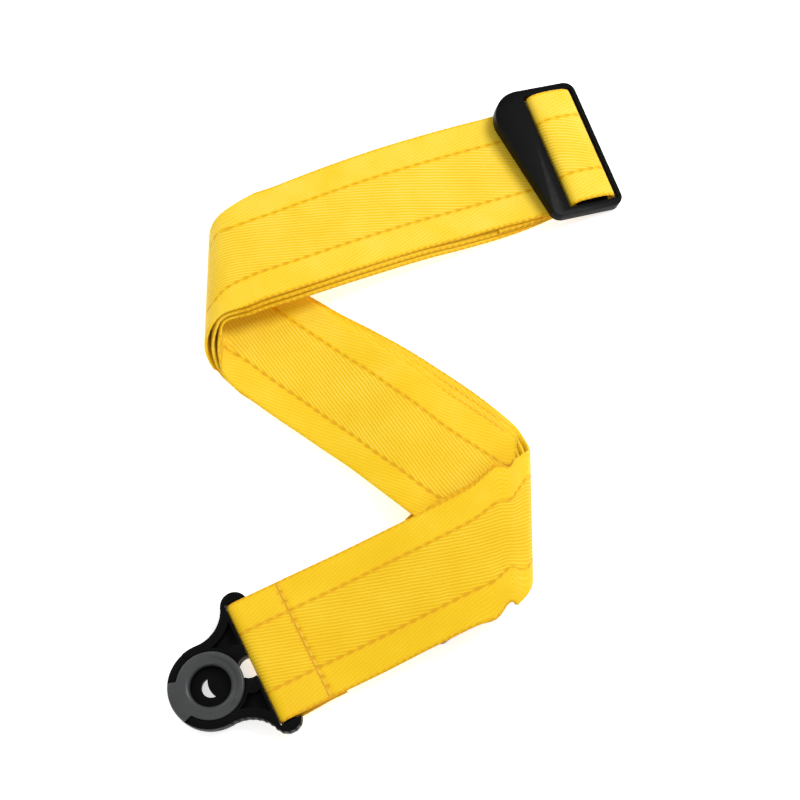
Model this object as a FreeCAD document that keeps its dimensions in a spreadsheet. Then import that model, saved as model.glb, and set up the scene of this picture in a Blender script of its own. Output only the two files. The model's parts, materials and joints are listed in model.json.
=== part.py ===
import FreeCAD, Part
import math
import os
import Sketcher

V = FreeCAD.Vector
doc = FreeCAD.newDocument("guitar_strap")
size = doc.addObject("Spreadsheet::Sheet", "size")

# Driving sizes in millimetres and degrees: alias, value or formula, what it is.
driving = [
    ("webWidth", 50.0, "webbing width"),
    ("webThick", 1.3, "webbing thickness"),
    ("rollRight", 5.8, "bend radius of the outer strand at the right fold"),
    ("rollLeft", 7.2, "bend radius of the outer strand at the left fold"),
    ("layerGap", 0.1, "air between two flat layers of webbing"),
    ("noseRadius", 16.5, "lock end: round nose"),
    ("flankRadius", 14.0, "lock end: hollow flanks that the fingers grip"),
    ("tipRadius", 5.5, "lock end: rounded wing tips"),
    ("tipReach", 21.0, "lock end: wing tip centre along the strap"),
    ("tipSpan", "=webWidth / 2 - 1.2", "lock end: wing tip centre across the strap"),
    ("coverThick", 1.6, "lock end: back cover"),
    ("shellTop", 7.0, "lock end: top of the rim above the back"),
    ("rimWidth", 3.6, "lock end: raised rim at the wings"),
    ("rimNear", 2.4, "lock end: rim around the ring"),
    ("pocketFloor", 3.0, "lock end: floor of the wing pockets"),
    ("barReach", 21.6, "lock end: strap bar from the ring centre"),
    ("barRadius", 2.4, "lock end: strap bar"),
    ("barHeight", 4.2, "lock end: bar axis above the back"),
    ("slotEdge", 17.5, "lock end: edge of the webbing slot"),
    ("slotHalf", "=webWidth / 2 + 0.7", "lock end: half length of the webbing slot"),
    ("windowRadius", 4.4, "lock end: round window"),
    ("windowReach", 16.3, "lock end: window centre from the ring centre"),
    ("boreRadius", 7.7, "strap button bore in the back cover"),
    ("ringOuter", 13.1, "release ring: outer radius"),
    ("ringHole", 8.0, "release ring: hole radius"),
    ("ringTab", 16.3, "release ring: radius of the thumb tab"),
    ("tabAngle", 65.0, "release ring: width of the thumb tab"),
    ("ringTop", 8.6, "release ring: top above the back"),
    ("seatFloor", 5.4, "release ring: seat above the back"),
    ("tabStep", 0.6, "lock end: step down of the rim where the thumb tab sweeps"),
    ("ringFit", 0.3, "running clearance of the ring and the jaws"),
    ("ringTwist", 40.0, "release ring: turn"),
    ("neckRadius", 4.0, "strap button neck between the jaws"),
    ("jawThick", 1.7, "jaw plate thickness"),
    ("jawHalf", 8.6, "jaw half width"),
    ("jawReach", 9.4, "outer end of a closed jaw"),
    ("jawTravel", 5.0, "jaw travel"),
    ("jawCorner", 3.6, "cut corner of a jaw and of its channel"),
    ("springRadius", 10.6, "ring return spring: coil radius"),
    ("springWire", 0.45, "ring return spring: wire radius"),
    ("screwRadius", 1.1, "cover screw: thread radius"),
    ("screwHead", 1.9, "cover screw: head radius"),
    ("glideHalf", "=webWidth / 2 + 5.2", "length adjuster: half length across the strap"),
    ("glideRight", 12.8, "length adjuster: outer edge of the narrow side bar"),
    ("glideLeft", 19.6, "length adjuster: outer edge of the wide bar, narrow end"),
    ("glideFlare", 27.2, "length adjuster: outer edge of the wide bar, wide end"),
    ("glideThick", 4.4, "length adjuster: thickness"),
    ("glideWindow", "=webWidth / 2 + 2", "length adjuster: half length of the slots"),
    ("glideSlotLeft", 11.5, "length adjuster: far edge of the slot by the wide bar"),
    ("glideSlotRight", 11.1, "length adjuster: far edge of the slot by the narrow bar"),
    ("glideBar", 7.2, "length adjuster: half width of the centre bar"),
    ("glideBarThick", 3.0, "length adjuster: thickness of the centre bar"),
    ("glideTilt", 15.0, "length adjuster: tilt where it lies on the webbing"),
    ("stitchPitch", 4.1, "stitch spacing"),
    ("stitchReach", 21.3, "stitch line from the webbing's folded edge"),
    ("tailExtra", 6.5, "webbing tail past the stitch line"),
]
for row, (alias, value, note) in enumerate(driving, start=1):
    size.set("A%d" % row, str(value))
    size.setAlias("A%d" % row, alias)
    size.set("B%d" % row, note)
doc.recompute()


def get(alias):
    return float(size.get(alias))


halfWeb = get("webWidth") / 2
thick = get("webThick")
pitch = thick + get("layerGap")
pieces = []


def keep(thing, name, place=None):
    """Name a finished sub-part and remember it for the export."""
    thing.Label = name
    if place is not None:
        thing.Placement = place
    pieces.append(thing)
    return thing


def originPlane(body, role):
    return [f for f in body.Origin.OriginFeatures if f.Role == role][0]


def newSketch(body, role="XY_Plane", height=None):
    """A sketch on one of the body's own planes, raised by an expression."""
    sketch = body.newObject("Sketcher::SketchObject", "Sketch")
    sketch.AttachmentSupport = [(originPlane(body, role), "")]
    sketch.MapMode = "FlatFace"
    if height:
        sketch.setExpression(".AttachmentOffset.Base.z", height)
    return sketch


def drawCircle(sketch, x, y, radius):
    """A circle whose radius follows an expression."""
    index = sketch.addGeometry(Part.Circle(V(x, y, 0), V(0, 0, 1), 1.0), False)
    if x == 0 and y == 0:
        sketch.addConstraint(Sketcher.Constraint("Coincident", index, 3, -1, 1))
    else:
        sketch.addConstraint(Sketcher.Constraint("DistanceX", index, 3, x))
        sketch.addConstraint(Sketcher.Constraint("DistanceY", index, 3, y))
    mark = sketch.addConstraint(Sketcher.Constraint("Radius", index, 1.0))
    sketch.setExpression("Constraints[%d]" % mark, radius)


def drawLoop(sketch, edges):
    for edge in edges:
        sketch.addGeometry(edge, False)


def polygon(points):
    closed = points + points[:1]
    return [Part.LineSegment(V(*a, 0), V(*b, 0)) for a, b in zip(closed, closed[1:])]


def arc(start, middle, end):
    return Part.Arc(V(*start, 0), V(*middle, 0), V(*end, 0))


def pad(body, sketch, length, both=False):
    feature = body.newObject("PartDesign::Pad", "Pad")
    feature.Profile = sketch
    feature.Midplane = both
    feature.setExpression("Length", length)
    return feature


def pocket(body, sketch, length=None, up=False):
    """Cut down from the sketch, or up, by a length or through everything."""
    feature = body.newObject("PartDesign::Pocket", "Pocket")
    feature.Profile = sketch
    feature.Reversed = up
    if length:
        feature.setExpression("Length", length)
    else:
        feature.Type = "ThroughAll"
    return feature


# ---------------------------------------------------------------- lock ends
def polar(radius, angle, centre=(0.0, 0.0)):
    turn = math.radians(angle)
    return (centre[0] + radius * math.cos(turn), centre[1] + radius * math.sin(turn))


def flankCentre(flank, nose, tip):
    """Centre of the hollow arc that touches the nose and one wing tip."""
    reach, span = get("tipReach"), get("tipSpan")
    apart = math.hypot(reach, span)
    toNose, toTip = nose + flank, tip + flank
    along = (toNose ** 2 - toTip ** 2 + apart ** 2) / (2 * apart)
    side = math.sqrt(toNose ** 2 - along ** 2)
    ux, uy = reach / apart, span / apart
    return (along * ux - side * uy, along * uy + side * ux)


def lockOutline(inset):
    """Round nose, hollow flanks, round wing tips and a straight rear edge."""
    nose, tip = get("noseRadius") - inset, get("tipRadius") - inset
    flank = get("flankRadius") + inset
    reach, span = get("tipReach"), get("tipSpan")
    cx, cy = flankCentre(flank, nose, tip)
    meetNose = (cx * nose / (nose + flank), cy * nose / (nose + flank))
    share = tip / (tip + flank)
    meetTip = (reach + (cx - reach) * share, span + (cy - span) * share)
    toNose = math.degrees(math.atan2(meetNose[1] - cy, meetNose[0] - cx))
    toTip = math.degrees(math.atan2(meetTip[1] - cy, meetTip[0] - cx))
    hollow = polar(flank, (toNose + toTip) / 2, (cx, cy))
    atTip = math.degrees(math.atan2(meetTip[1] - span, meetTip[0] - reach))
    crown = polar(tip, atTip / 2, (reach, span))

    def mirror(point):
        return (point[0], -point[1])

    rear = (reach + tip, span)
    return [
        arc(mirror(meetNose), (-nose, 0), meetNose),
        arc(meetNose, hollow, meetTip),
        arc(meetTip, crown, rear),
        Part.LineSegment(V(*rear, 0), V(*mirror(rear), 0)),
        arc(mirror(rear), mirror(crown), mirror(meetTip)),
        arc(mirror(meetTip), mirror(hollow), mirror(meetNose)),
    ]


def wingPocket(side):
    """Recess between the rim, the ring seat, a curved ridge and the slot."""
    seat = get("ringOuter") + get("rimNear") - 0.9
    flank = get("flankRadius") + get("rimWidth")
    cx, cy = flankCentre(get("flankRadius"), get("noseRadius"), get("tipRadius"))
    edge = get("slotEdge") - 1.0
    atSeat = polar(seat, 64)
    start = math.degrees(math.atan2(atSeat[1] - cy, atSeat[0] - cx))
    rimEnd = (edge, cy - math.sqrt(max(flank ** 2 - (edge - cx) ** 2, 0.0)))
    middle = polar(flank, start / 2 + math.degrees(math.atan2(rimEnd[1] - cy, rimEnd[0] - cx)) / 2,
                   (cx, cy))
    ridgeFar = (edge, 9.4)
    ridgeNear = polar(seat, 37)
    ridgeMiddle = (ridgeNear[0] + 3.4, ridgeNear[1] + 1.2)

    def flip(point):
        return (point[0], side * point[1])

    atRim = polar(flank, start, (cx, cy))
    return [
        arc(flip(atRim), flip(middle), flip(rimEnd)),
        Part.LineSegment(V(*flip(rimEnd), 0), V(*flip(ridgeFar), 0)),
        arc(flip(ridgeFar), flip(ridgeMiddle), flip(ridgeNear)),
        arc(flip(ridgeNear), flip(polar(seat, 50)), flip(atSeat)),
        Part.LineSegment(V(*flip(atSeat), 0), V(*flip(atRim), 0)),
    ]


screwPlaces = [(2.0, 12.6), (2.0, -12.6), (15.2, 7.1), (15.2, -7.1)]


def cutCorners(reach, half, bothEnds):
    """A rectangle along the strap whose outer corners are cut to clear the nose."""
    cut = get("jawCorner")
    nose = [(-reach, half - cut), (-reach, cut - half), (cut - reach, -half)]
    if bothEnds:
        return nose + [(reach - cut, -half), (reach, cut - half), (reach, half - cut),
                       (reach - cut, half), (cut - reach, half)]
    return nose


def makeHousing(name, place):
    body = doc.addObject("PartDesign::Body", name)
    outline = newSketch(body, height="size.coverThick")
    drawLoop(outline, lockOutline(0.0))
    pad(body, outline, "size.shellTop - size.coverThick")
    clear = newSketch(body, height="size.shellTop")
    rear = get("tipReach") + get("tipRadius") + 1
    slot, half = get("slotEdge"), get("slotHalf")
    drawLoop(clear, polygon([(slot, -half), (rear, -half), (rear, half), (slot, half)]))
    pocket(body, clear)
    for side in (1, -1):
        recess = newSketch(body, height="size.shellTop")
        drawLoop(recess, wingPocket(side))
        pocket(body, recess, "size.shellTop - size.pocketFloor")
    seat = newSketch(body, height="size.shellTop")
    drawCircle(seat, 0, 0, "size.ringOuter + size.ringFit")
    pocket(body, seat, "size.shellTop - size.seatFloor")
    notch = newSketch(body, height="size.shellTop")
    low, high = 180 - get("tabAngle") / 2 - get("ringTwist") - 1, 180 + get("tabAngle") / 2 + 1
    inner, outer = get("ringOuter") - 1, get("noseRadius") + 1
    drawLoop(notch, [
        arc(polar(outer, low), polar(outer, (low + high) / 2), polar(outer, high)),
        Part.LineSegment(V(*polar(outer, high), 0), V(*polar(inner, high), 0)),
        arc(polar(inner, high), polar(inner, (low + high) / 2), polar(inner, low)),
        Part.LineSegment(V(*polar(inner, low), 0), V(*polar(outer, low), 0)),
    ])
    pocket(body, notch, "size.tabStep")
    bore = newSketch(body, height="size.shellTop")
    drawCircle(bore, 0, 0, "size.ringHole - 0.3")
    pocket(body, bore)
    groove = newSketch(body, height="size.seatFloor")
    drawCircle(groove, 0, 0, "size.springRadius + size.springWire + 0.2")
    drawCircle(groove, 0, 0, "size.springRadius - size.springWire - 0.2")
    pocket(body, groove, "2 * size.springWire + 0.3")
    channel = newSketch(body, height="size.coverThick")
    far = get("jawReach") + get("jawTravel") + get("ringFit")
    drawLoop(channel, polygon(cutCorners(far, get("jawHalf") + get("ringFit"), True)))
    pocket(body, channel, "size.jawThick + 2 * size.ringFit", up=True)
    window = newSketch(body, height="size.shellTop")
    drawCircle(window, get("windowReach"), 0, "size.windowRadius")
    pocket(body, window)
    bar = newSketch(body, "XZ_Plane")
    drawCircle(bar, get("barReach"), get("barHeight"), "size.barRadius")
    pad(body, bar, "2 * size.slotHalf + 2", both=True)
    for x, y in screwPlaces:
        pilot = newSketch(body, height="size.coverThick")
        drawCircle(pilot, x, y, "size.screwRadius")
        pocket(body, pilot, "1.3", up=True)
    return keep(body, name, place)


def makeCover(name, place):
    body = doc.addObject("PartDesign::Body", name)
    outline = newSketch(body)
    drawLoop(outline, lockOutline(0.5))
    pad(body, outline, "size.coverThick")
    clear = newSketch(body, height="size.coverThick")
    slot, half = get("slotEdge"), get("slotHalf")
    rear = get("tipReach") + get("tipRadius") + 1
    drawLoop(clear, polygon([(slot, -half), (rear, -half), (rear, half), (slot, half)]))
    pocket(body, clear)
    bore = newSketch(body, height="size.coverThick")
    drawCircle(bore, 0, 0, "size.boreRadius")
    pocket(body, bore)
    window = newSketch(body, height="size.coverThick")
    drawCircle(window, get("windowReach"), 0, "size.windowRadius + 0.3")
    pocket(body, window)
    for x, y in screwPlaces:
        sink = newSketch(body)
        drawCircle(sink, x, y, "size.screwHead + 0.1")
        pocket(body, sink, "0.9", up=True)
        drill = newSketch(body)
        drawCircle(drill, x, y, "size.screwRadius + 0.1")
        pocket(body, drill, "size.coverThick", up=True)
    return keep(body, name, place)


def makeRing(name, place):
    body = doc.addObject("PartDesign::Body", name)
    disc = newSketch(body, height="size.seatFloor + size.ringFit / 3")
    drawCircle(disc, 0, 0, "size.ringOuter")
    drawCircle(disc, 0, 0, "size.ringHole")
    pad(body, disc, "size.ringTop - size.seatFloor - size.ringFit / 3 - 0.8")
    tab = newSketch(body, height="size.shellTop - size.tabStep + size.ringFit / 2")
    half = get("tabAngle") / 2
    inner, outer = get("ringOuter") - 1, get("ringTab")
    low, high = 180 - half, 180 + half
    drawLoop(tab, [
        arc(polar(outer, low), (-outer, 0), polar(outer, high)),
        Part.LineSegment(V(*polar(outer, high), 0), V(*polar(inner, high), 0)),
        arc(polar(inner, high), (-inner, 0), polar(inner, low)),
        Part.LineSegment(V(*polar(inner, low), 0), V(*polar(outer, low), 0)),
    ])
    pad(body, tab, "size.ringTop - 0.8 - size.shellTop + size.tabStep - size.ringFit / 2")
    lip = newSketch(body, height="size.ringTop - 1.0")
    inner, outer = get("ringOuter") - 2.4, get("ringOuter")
    drawLoop(lip, [
        arc(polar(outer, -62), (outer, 0), polar(outer, 62)),
        Part.LineSegment(V(*polar(outer, 62), 0), V(*polar(inner, 62), 0)),
        arc(polar(inner, 62), (inner, 0), polar(inner, -62)),
        Part.LineSegment(V(*polar(inner, -62), 0), V(*polar(outer, -62), 0)),
    ])
    pad(body, lip, "1.0")
    return keep(body, name, place)


def makeJaw(name, place, side):
    """A sliding plate: the nose jaw is hollowed for the neck, the other is bowed."""
    body = doc.addObject("PartDesign::Body", name)
    plate = newSketch(body, height="size.coverThick + size.ringFit")
    half, reach, neck = get("jawHalf"), get("jawReach"), get("neckRadius")
    cut, gap = get("jawCorner"), get("ringFit") / 2
    if side < 0:
        step = math.sqrt(neck ** 2 - gap ** 2)
        bite = arc((-gap, -step), (-neck, 0), (-gap, step))
    else:
        step = 0.9 * neck
        bite = arc((gap, -step), (gap - 1.0, 0), (gap, step))
    corners = [(side * gap, step), (side * gap, half), (side * (reach - cut), half),
               (side * reach, half - cut), (side * reach, cut - half),
               (side * (reach - cut), -half), (side * gap, -half), (side * gap, -step)]
    straight = [Part.LineSegment(V(*a, 0), V(*b, 0)) for a, b in zip(corners, corners[1:])]
    drawLoop(plate, straight + [bite])
    pad(body, plate, "size.jawThick")
    return keep(body, name, place)


def makeSpring(name, place):
    """One open coil that lies in the ring's seat, with a leg at each end."""
    coil = doc.addObject("Part::Torus", name + "_coil")
    coil.setExpression("Radius1", "size.springRadius")
    coil.setExpression("Radius2", "size.springWire")
    coil.Angle3 = 290
    level = get("seatFloor") - get("springWire") - 0.15
    coil.Placement = FreeCAD.Placement(V(0, 0, level), FreeCAD.Rotation(V(0, 0, 1), 35))
    leg = doc.addObject("Part::Cylinder", name + "_leg")
    leg.setExpression("Radius", "0.9 * size.springWire")
    leg.setExpression("Height", "size.springWire + 0.2")
    leg.Placement = FreeCAD.Placement(V(*polar(get("springRadius"), 40), level),
                                      FreeCAD.Rotation())
    joined = doc.addObject("Part::Fuse", name)
    joined.Base = coil
    joined.Tool = leg
    return keep(joined, name, place)


def makeScrews(name, place):
    """Four small screws that hold the back cover."""
    made = []
    for number, (x, y) in enumerate(screwPlaces):
        head = doc.addObject("Part::Cylinder", "%s_head%d" % (name, number))
        head.setExpression("Radius", "size.screwHead")
        head.Height = 0.8
        head.Placement = FreeCAD.Placement(V(x, y, 0.1), FreeCAD.Rotation())
        shank = doc.addObject("Part::Cylinder", "%s_shank%d" % (name, number))
        shank.setExpression("Radius", "size.screwRadius - 0.05")
        shank.setExpression("Height", "size.coverThick + 0.75")
        shank.Placement = FreeCAD.Placement(V(x, y, 0.5), FreeCAD.Rotation())
        screw = doc.addObject("Part::Fuse", "%s_screw%d" % (name, number))
        screw.Base = head
        screw.Tool = shank
        made.append(screw)
    group = doc.addObject("Part::Compound", name)
    group.Links = made
    return keep(group, name, place)


# ----------------------------------------------------------- length adjuster
def makeGlide(name, place):
    """Wide slanting side bar, centre bar, narrow side bar and two end bars."""
    body = doc.addObject("PartDesign::Body", name)
    half, right = get("glideHalf"), get("glideRight")
    narrow, flare = get("glideLeft"), get("glideFlare")
    small, large = 4.5, 14.0
    outline = newSketch(body, height="-size.glideThick / 2")
    shoulder = (-flare + large * 0.29, half - large * 0.29)
    drawLoop(outline, [
        Part.LineSegment(V(small - narrow, -half, 0), V(right - small, -half, 0)),
        arc((right - small, -half), (right - small * 0.29, small * 0.29 - half), (right, small - half)),
        Part.LineSegment(V(right, small - half, 0), V(right, half - small, 0)),
        arc((right, half - small), (right - small * 0.29, half - small * 0.29), (right - small, half)),
        Part.LineSegment(V(right - small, half, 0), V(large - flare, half, 0)),
        arc((large - flare, half), shoulder, (-flare, half - large)),
        Part.LineSegment(V(-flare, half - large, 0), V(-narrow, small - half, 0)),
        arc((-narrow, small - half), (small * 0.29 - narrow, small * 0.29 - half), (small - narrow, -half)),
    ])
    pad(body, outline, "size.glideThick")
    window = newSketch(body, height="size.glideThick / 2")
    left, reach, end = get("glideSlotLeft"), get("glideSlotRight"), get("glideWindow")
    drawLoop(window, polygon([(-left, -end), (reach, -end), (reach, end), (-left, end)]))
    pocket(body, window)
    bar = newSketch(body, "XZ_Plane")
    wide, thin = get("glideBar"), get("glideBarThick") / 2
    flat = wide - thin
    drawLoop(bar, [
        Part.LineSegment(V(-flat, -thin, 0), V(flat, -thin, 0)),
        arc((flat, -thin), (wide, 0), (flat, thin)),
        Part.LineSegment(V(flat, thin, 0), V(-flat, thin, 0)),
        arc((-flat, thin), (-wide, 0), (-flat, -thin)),
    ])
    pad(body, bar, "2 * size.glideWindow + 2", both=True)
    return keep(body, name, place)


# -------------------------------------------------------------- the webbing
def smooth(rows, steps):
    """Points on a curve through the rows, so many to each stretch."""
    out = []
    for i in range(len(rows) - 1):
        a, b = rows[max(i - 1, 0)], rows[i]
        c, d = rows[i + 1], rows[min(i + 2, len(rows) - 1)]
        for step in range(steps):
            t = step / steps
            out.append(tuple(
                0.5 * (2 * q + (r - p) * t + (2 * p - 5 * q + 4 * r - s) * t * t
                       + (3 * q - p - 3 * r + s) * t ** 3)
                for p, q, r, s in zip(a, b, c, d)))
    out.append(tuple(rows[-1]))
    return out


def frames(rows, steps):
    """Centre, crosswise direction, half length and inward normal of each section."""
    points = smooth(rows, steps)
    spots = [V(*p[:3]) for p in points]
    out = []
    for i, point in enumerate(points):
        along = spots[min(i + 1, len(spots) - 1)] - spots[max(i - 1, 0)]
        along.normalize()
        turn = math.radians(point[3])
        tilt = math.radians(point[8]) if len(point) > 8 else 0.0
        across = V(math.cos(turn) * math.cos(tilt), math.sin(turn) * math.cos(tilt), math.sin(tilt))
        inward = across.cross(along)
        half = halfWeb / inward.Length
        half = min(half, point[4]) if len(point) > 4 else halfWeb
        inward.normalize()
        out.append((spots[i], across, half, inward) + tuple(point[5:]))
    return out


def ribbon(name, sections):
    """A closed solid of the webbing's width and thickness through the sections."""
    wires = []
    for centre, across, half, inward in sections:
        side, rise = across * half, inward * (thick / 2)
        corners = [centre - side - rise, centre + side - rise,
                   centre + side + rise, centre - side + rise]
        wires.append(Part.makePolygon(corners + corners[:1]))
    solid = Part.makeLoft(wires, True, True)
    if solid.Volume < 0:
        solid.reverse()
    feature = doc.addObject("Part::Feature", name)
    feature.Shape = solid
    return keep(feature, name)


def offset(section, inward, sideways):
    """The same section, moved into the bend and along its own width."""
    centre, across, half, normal = section[:4]
    return (centre + normal * inward + across * sideways, across, half, normal)


# Where the two lock ends and the adjuster lie: place, heading and slope.
def lockPlace(x, y, lift, heading, slope):
    turn = FreeCAD.Rotation(V(0, 0, 1), heading).multiply(FreeCAD.Rotation(V(0, 1, 0), -slope))
    return FreeCAD.Placement(V(x, y, lift), turn)


frontTurn, rearTurn, glideTurn = 26.0, 185.0, 20.0
frontPlace = lockPlace(-70.96, -118.27, 1.55, frontTurn, 5.0)
rearPlace = lockPlace(33.5, -69.7, 0.0, rearTurn, 0.0)
glidePlace = lockPlace(70.2, 109.2, 5.9, glideTurn, -get("glideTilt"))
loopRadius = get("barRadius") + 0.15 + thick / 2
barPoint = V(get("barReach"), 0, get("barHeight"))
frontBar, rearBar = frontPlace.multVec(barPoint), rearPlace.multVec(barPoint)

# The outer strand, from the front lock end to the adjuster. Each row is the
# middle of the webbing (x, y, z), the direction of its crosswise line, the most
# that its slanting half width may be, then how far the second and third strands
# lie inside it and how far they are splayed.
tailDepth = thick + 0.6
zRight, xRight = 9.3 + get("rollRight"), 50.05 - get("rollRight")
zLeft, xLeft = thick / 2 + 0.17 + get("rollLeft"), get("rollLeft") - 77.35


def bend(x, z, radius, angle, y, half, inner, outer, splay, tilt=0.0):
    spot = math.radians(angle)
    return (x + radius * math.cos(spot), y, z + radius * math.sin(spot), 90.0, half * halfWeb,
            inner, outer, splay, tilt)


slant = 1.24 * halfWeb
frontRun = [
    (frontBar.x, frontBar.y, frontBar.z + loopRadius, 116, slant, pitch, 2 * pitch, 1.0, 0),
    (-32.8, -99.2, 10.1, 115, slant, pitch, 2 * pitch, 1.0, 0),
    (-15.0, -90.8, 11.4, 109, slant, pitch, 2 * pitch, 1.0, 0),
    (0.0, -83.8, 14.0, 102, slant, pitch, 2 * pitch, 1.0, 0),
    (15.0, -76.9, 17.0, 97, slant, pitch, 2 * pitch, 1.2, 0),
    (30.0, -69.6, 19.6, 92, slant, 1.6, 3.2, 1.3, 0),
    (39.0, -63.9, 20.8, 90, slant, 1.9, 3.8, 1.0, 0),
]
rightFold = [bend(xRight, zRight, get("rollRight"), angle, y, half, 2.0, 4.0, splay)
             for angle, y, half, splay in (
                 (90, -60.0, 1.11, 0.6), (45, -56.4, 1.09, -0.4), (0, -52.5, 1.07, -1.6),
                 (-45, -47.4, 1.1, -2.8), (-90, -42.4, 1.16, -3.6))]
middleRun = [
    (30.0, -32.0, 9.3, 90, slant, 1.7, 3.4, -4.2, 0),
    (15.0, -21.0, 9.2, 90, slant, pitch, 2 * pitch, -4.2, 0),
    (0.0, -10.2, 8.2, 90, slant, pitch, 2 * pitch, -3.4, 0),
    (-15.0, 0.3, 5.0, 90, slant, pitch, 2 * pitch, -2.4, 0),
    (-30.0, 10.2, 2.2, 90, slant, pitch, 2 * pitch, -1.6, 0),
    (-46.0, 20.8, 1.0, 90, slant, 1.6, 3.2, -1.0, 0),
    (-60.0, 30.4, zLeft - get("rollLeft"), 90, slant, 1.9, 3.8, -0.6, 0),
]
leftFold = [bend(xLeft, zLeft, get("rollLeft"), angle, y, half, inner, outer, -0.4, tilt)
            for angle, y, half, inner, outer, tilt in (
                (-90, 37.5, 1.16, 2.3, 4.6, 0), (-135, 40.5, 1.1, 2.6, 5.0, -2),
                (-180, 44.4, 1.06, 2.8, 5.2, -5), (-225, 49.4, 1.04, 2.6, 5.0, -8),
                (-270, 54.9, 1.04, 2.3, 4.6, -9))]
backRun = [
    (-60.0, 59.5, 15.1, 90.5, slant, 2.1, 4.2, -0.9, -9),
    (-45.0, 65.6, 14.6, 93, slant, 1.8, 3.6, -1.3, -8),
    (-22.0, 75.2, 13.0, 101, slant, pitch, 2 * pitch, -1.6, -5),
    (0.0, 84.2, 10.6, 106, slant, pitch, 2 * pitch, -1.6, -2),
    (18.0, 90.7, 8.9, 109, slant, pitch + 1.0, 2 * pitch + 1.0, -1.5, 0),
    (32.0, 95.8, 7.4, 110, slant, tailDepth + pitch, tailDepth + 2 * pitch, -1.3, 0),
    (44.0, 99.9, 6.2, 110, slant, tailDepth + pitch, tailDepth + 2 * pitch, -0.8, 0),
    (55.2, 103.75, 5.6, 110, slant, tailDepth + pitch, tailDepth + 2 * pitch, 0.0, 0),
]
steps = 4
route = frames(frontRun + rightFold + middleRun + leftFold + backRun, steps)
turnStart = 4 * steps
sharedEnd = (len(frontRun + rightFold + middleRun + leftFold) + 1) * steps

strands = (("outer_strand", 0), ("sewn_strand", 1), ("return_strand", 2))
hairpins = {
    1: [(8.6, -79.8, 12.9, 99), (5.9, -78.6, 9.7, 98), (5.5, -76.2, 5.3, 97),
        (8.0, -72.3, 1.75, 95), (rearBar.x, rearBar.y, rearBar.z - loopRadius, 95)],
    2: [(11.2, -78.4, 12.6, 98), (9.0, -77.2, 11.1, 97), (8.3, -75.2, 9.4, 96),
        (9.4, -72.8, 8.0, 95), (rearBar.x, rearBar.y, rearBar.z + loopRadius, 95)],
}


def moved(section, layer):
    """One section of a strand: the outer one, or one lying inside it."""
    depth = (0.0, section[4], section[5])[layer]
    return offset(section, depth, layer * section[6])


for label, layer in strands:
    first = 0 if layer == 0 else turnStart
    body = [moved(s, layer) for s in route[first:sharedEnd + 1]]
    if layer:
        joint = body[0]
        start = (joint[0].x, joint[0].y, joint[0].z, 97)
        turn = frames([start] + hairpins[layer], 3)[::-1]
        turn = [(c, a, h, n * -1) for c, a, h, n in turn]
        body = turn[:-1] + body
    ribbon(label, body)
    ribbon(label + "_run", [moved(s, layer) for s in route[sharedEnd:]])


def inPlane(place, heading, points):
    """Rows of a piece of webbing drawn in the upright plane of a fitting."""
    rows = []
    for x, z in points:
        spot = place.multVec(V(x, 0, z))
        rows.append((spot.x, spot.y, spot.z, heading + 90))
    return rows


def halfTurn(bar, heading, first, last):
    """Rows around a lock end's bar, in a plane along the heading."""
    way = V(math.cos(math.radians(heading)), math.sin(math.radians(heading)), 0)
    rows = []
    for step in range(9):
        angle = math.radians(first + (last - first) * step / 8)
        spot = bar + way * (loopRadius * math.cos(angle)) + V(0, 0, loopRadius * math.sin(angle))
        rows.append((spot.x, spot.y, spot.z, heading + 90))
    return rows


# The front end of the webbing: round the bar and back under itself.
way = V(math.cos(math.radians(frontTurn)), math.sin(math.radians(frontTurn)), 0)
foldEdge = loopRadius + thick / 2
stitchAt = get("stitchReach") - foldEdge
tailEnd = stitchAt + get("tailExtra")
tail = []
for reach, rise in ((6.0, -2.6), (13.0, -0.6), (stitchAt, 0.75), (tailEnd, 0.95)):
    spot = frontBar + way * reach + V(0, 0, rise)
    tail.append((spot.x, spot.y, spot.z, frontTurn + 90))
turnRows = halfTurn(frontBar, frontTurn, 94, 270)
ribbon("front_loop", frames(turnRows, 1)[:-1] + frames(turnRows[-1:] + tail, 3))

# The hidden end: one bight of webbing round the rear lock end's bar.
ribbon("rear_loop", frames(halfTurn(rearBar, rearTurn, 98, 262), 1))

# The adjuster: the outer strand over the bar, and the sewn loop beneath it.
over = [(-14.9, -4.35), (-12.9, -4.2), (-11.0, -3.2), (-9.75, -1.3), (-9.4, 1.0), (-8.4, 2.9),
        (-6.0, 4.0), (-2.5, 4.45), (2.5, 4.5), (6.2, 3.95), (8.9, 2.4), (9.6, 0), (8.9, -2.6),
        (5.8, -3.95), (0, -4.25), (-5, -5.55), (-10, -7.6), (-13.6, -8.8)]
ribbon("adjuster_wrap", frames(inPlane(glidePlace, glideTurn, over), 3))
under = [(-11.7, -5.25), (-9.5, -3.9), (-8.3, -1.7), (-8.0, 0.2), (-6.5, 2.1), (-2, 2.45), (2, 2.45),
         (5.6, 2.3), (7.4, 1.6), (8.05, 0), (7.4, -1.6), (5.4, -2.35), (0, -2.65), (-5, -4.0),
         (-10, -6.1), (-14.0, -7.5)]
tailPart = [offset(s, tailDepth, s[6]) for s in route[-1 - 2 * steps:]]
ribbon("adjuster_loop", tailPart + frames(inPlane(glidePlace, glideTurn, under), 3))


def stitches(name, section, rise, count, radius):
    """A row of stitches laid across the webbing."""
    centre, across, half, inward = section[:4]
    made = []
    for number in range(count):
        middle = centre + across * ((number - (count - 1) / 2) * get("stitchPitch")) + inward * rise
        thread = doc.addObject("Part::Cylinder", "%s_%d" % (name, number))
        thread.Radius = radius
        thread.Height = 2.7
        thread.Placement = FreeCAD.Placement(middle - across * 1.35, FreeCAD.Rotation(V(0, 0, 1), across))
        made.append(thread)
    group = doc.addObject("Part::Compound", name)
    group.Links = made
    return keep(group, name)


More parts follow.
